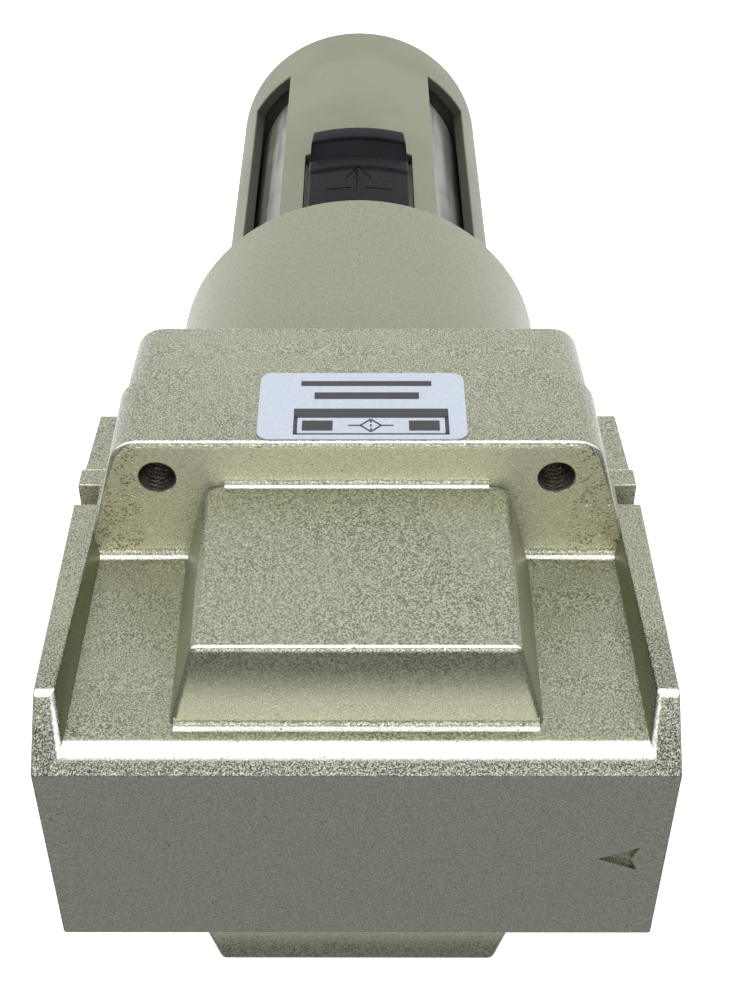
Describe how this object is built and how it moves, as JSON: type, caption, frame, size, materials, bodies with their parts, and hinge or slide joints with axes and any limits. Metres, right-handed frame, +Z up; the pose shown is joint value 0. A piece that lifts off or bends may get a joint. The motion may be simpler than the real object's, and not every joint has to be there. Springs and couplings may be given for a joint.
{
  "type": "compressed air filter",
  "caption": "Modular compressed-air line filter: die-cast head with in-line ports, round bowl guard with sight slots, lock button and turning drain knob.",
  "frame": {"origin": "where the port axis crosses the bowl's axis, 24 mm below the head's top face", "axes": "+Z up along the bowl's axis, -Y towards the front with the label and the lock button, air flows from the -X port to the +X port"},
  "size_m": [0.09, 0.0878, 0.24],
  "materials": {
    "cast_paint": "metallic champagne-olive paint with a coarse sparkle, over die-cast aluminium",
    "guard_paint": "smooth satin metallic olive-grey paint, over aluminium",
    "clear_plastic": "moulded clear polycarbonate, slightly milky",
    "dark_plastic": "semi-gloss blue-black moulded plastic",
    "pale_plastic": "plain moulded plastic",
    "filter_media": "porous sintered medium",
    "rubber": "nitrile rubber",
    "steel": "zinc-plated steel",
    "brass": "turned brass",
    "label_paper": "pale coated label"
  },
  "bodies": {
    "head": {"body": "cast_paint", "housing": "cast_paint", "housing_gasket": "rubber", "housing_screw_1": "steel", "housing_screw_2": "steel", "housing_screw_3": "steel", "housing_screw_4": "steel", "lock_washer_1": "steel", "lock_washer_2": "steel", "lock_washer_3": "steel", "lock_washer_4": "steel", "label": "label_paper", "deflector": "pale_plastic", "upper_element_gasket": "rubber", "filter_element": "filter_media", "lower_element_gasket": "rubber", "baffle": "pale_plastic", "tie_rod": "steel", "tie_rod_nut": "steel"},
    "bowl_unit": {"bowl_guard": "guard_paint", "bowl": "clear_plastic", "bowl_o_ring": "rubber", "drain_guide": "brass", "drain_guide_o_ring": "rubber", "drain_nut": "brass", "lock_spring": "steel"},
    "button": {"lock_button": "dark_plastic"},
    "drain_stem": {"drain_valve": "brass", "drain_valve_o_ring": "rubber"},
    "drain_grip": {"drain_knob": "dark_plastic"}
  },
  "joints": [
    {"name": "bowl_turn", "type": "hinge", "parent": "head", "child": "bowl_unit", "pos_m": [0, 0, 0], "axis": [0, 0, 1], "range_deg": [-45, 45]},
    {"name": "button_press", "type": "slide", "parent": "bowl_unit", "child": "button", "axis": [0, 0, -1], "range_m": [0, 0.006], "stiffness_N_per_m": 500, "springref_m": -0.002, "deforming": ["lock_spring"]},
    {"name": "drain_screw", "type": "slide", "parent": "bowl_unit", "child": "drain_stem", "axis": [0, 0, -1], "range_m": [0, 0.0015]},
    {"name": "drain_turn", "type": "hinge", "parent": "drain_stem", "child": "drain_grip", "pos_m": [0, 0, -0.216], "axis": [0, 0, -1], "range_deg": [0, 360]}
  ],
  "couplings": [
    {"joint": "drain_screw", "follows": "drain_turn", "m_per_rad": 0.00023873}
  ]
}
